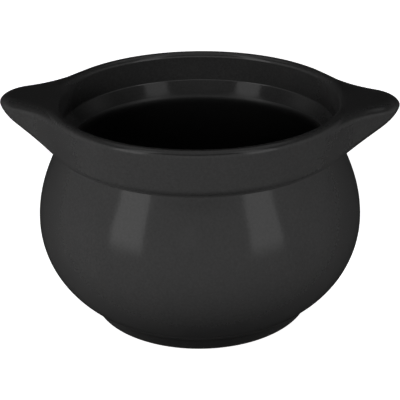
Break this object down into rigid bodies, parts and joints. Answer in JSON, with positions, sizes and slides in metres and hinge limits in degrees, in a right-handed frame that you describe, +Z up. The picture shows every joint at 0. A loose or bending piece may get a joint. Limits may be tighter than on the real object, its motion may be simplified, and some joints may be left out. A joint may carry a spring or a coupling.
{
  "type": "onion soup crock",
  "caption": "Round-bellied onion soup crock with a heavy collar, pointed ear handles on opposite sides and a low foot ring, in satin black glaze.",
  "frame": {"origin": "on the table under the middle of the foot ring", "axes": "+X along the two handles, towards the right handle; +Y to the back; +Z up out of the mouth"},
  "size_m": [0.1418, 0.1178, 0.0803],
  "materials": {
    "bowl_glaze": "satin black glaze with a faint pebbled texture",
    "collar_glaze": "satin black glaze, a little thinner on the lip",
    "handle_glaze": "satin black glaze with a faint pebbled texture",
    "foot_glaze": "satin black glaze on its side, bare dark clay where it meets the table"
  },
  "bodies": {
    "root": {"bowl_body": "bowl_glaze", "rim_collar": "collar_glaze", "left_handle": "handle_glaze", "right_handle": "handle_glaze", "foot_ring": "foot_glaze"}
  },
  "joints": []
}
